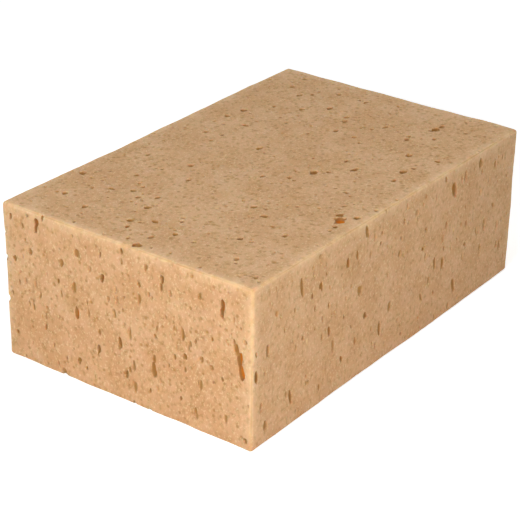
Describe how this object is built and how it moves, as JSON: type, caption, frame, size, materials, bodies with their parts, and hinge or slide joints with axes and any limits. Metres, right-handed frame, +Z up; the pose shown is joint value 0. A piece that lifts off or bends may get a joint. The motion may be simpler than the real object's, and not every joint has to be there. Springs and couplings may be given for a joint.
{
  "type": "cleaning sponge",
  "caption": "Rectangular block of open-cell foam with sharp-cut faces and scattered voids, for washing and wiping by hand.",
  "frame": {"origin": "middle of the underside, on the plane that the block rests on", "axes": "+X along the block's length, +Y across its width, +Z up through its height, which is the way the foam rose"},
  "size_m": [0.17, 0.109, 0.0605],
  "materials": {
    "foam": "matt open-cell foam"
  },
  "bodies": {
    "root": {"foam_block": "foam"}
  },
  "joints": []
}
